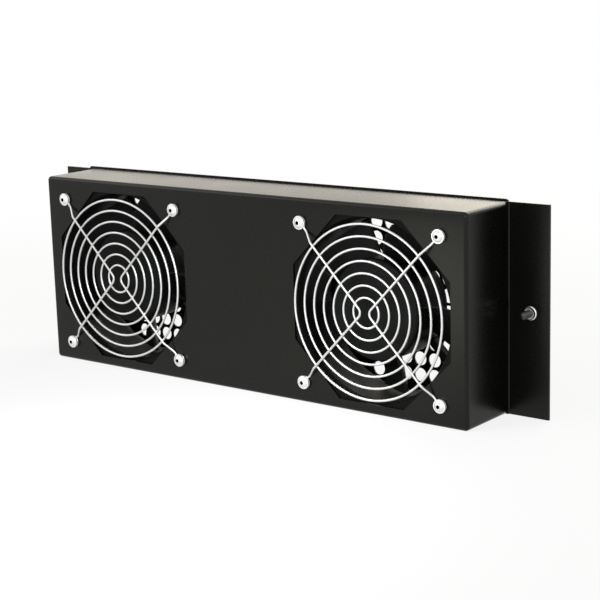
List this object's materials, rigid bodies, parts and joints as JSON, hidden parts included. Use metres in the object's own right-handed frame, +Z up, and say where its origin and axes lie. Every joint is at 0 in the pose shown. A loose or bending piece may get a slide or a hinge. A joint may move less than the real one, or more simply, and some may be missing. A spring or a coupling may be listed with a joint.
{
  "type": "rack fan unit",
  "caption": "Low black sheet-metal cabinet fan unit with guarded axial fans side by side, a perforated back and bent mounting ears.",
  "frame": {"origin": "under the middle of the overall box, on the plane of the bottom wall", "axes": "+X to the right as seen from the front, +Y from the guards to the back, +Z up"},
  "size_m": [0.414, 0.0588, 0.1358],
  "materials": {
    "housing_coat": "black semi-gloss powder coat",
    "fan_coat": "black satin paint on cast metal",
    "fan_plastic": "black moulded plastic",
    "guard_plating": "bright nickel plate",
    "zinc_steel": "bright zinc plate",
    "motor_steel": "plain steel",
    "copper": "lacquered copper wire",
    "bronze": "sintered bronze",
    "rubber": "black rubber",
    "block_plastic": "natural nylon",
    "lead_sleeve": "black sleeved wire"
  },
  "bodies": {
    "unit": {"housing": "housing_coat", "rear_plate": "housing_coat", "rear_plate_screws": "zinc_steel", "guard_screws": "zinc_steel", "fan_washers": "zinc_steel", "fan_nuts": "zinc_steel", "mounting_screws": "zinc_steel", "mounting_washers": "zinc_steel", "keeper_rings": "zinc_steel", "terminal_block": "block_plastic", "terminal_block_screw": "zinc_steel", "terminal_block_nut": "zinc_steel", "cable_grommet": "rubber", "fan_frame_left": "fan_coat", "guard_rings_left": "guard_plating", "guard_spokes_left": "guard_plating", "stator_core_left": "motor_steel", "stator_coils_left": "copper", "bushes_left": "bronze", "bearing_cap_left": "fan_plastic", "fan_leads_left": "lead_sleeve", "fan_frame_right": "fan_coat", "guard_rings_right": "guard_plating", "guard_spokes_right": "guard_plating", "stator_core_right": "motor_steel", "stator_coils_right": "copper", "bushes_right": "bronze", "bearing_cap_right": "fan_plastic", "fan_leads_right": "lead_sleeve"},
    "wheel_left": {"impeller_left": "fan_plastic", "rotor_ring_left": "motor_steel", "shaft_left": "motor_steel", "shaft_clip_left": "motor_steel"},
    "wheel_right": {"impeller_right": "fan_plastic", "rotor_ring_right": "motor_steel", "shaft_right": "motor_steel", "shaft_clip_right": "motor_steel"}
  },
  "joints": [
    {"name": "fan_left_spin", "type": "hinge", "parent": "unit", "child": "wheel_left", "pos_m": [-0.107, -0.00352, 0.0665], "axis": [0, -1, 0], "continuous": true},
    {"name": "fan_right_spin", "type": "hinge", "parent": "unit", "child": "wheel_right", "pos_m": [0.107, -0.00352, 0.0665], "axis": [0, -1, 0], "continuous": true}
  ]
}
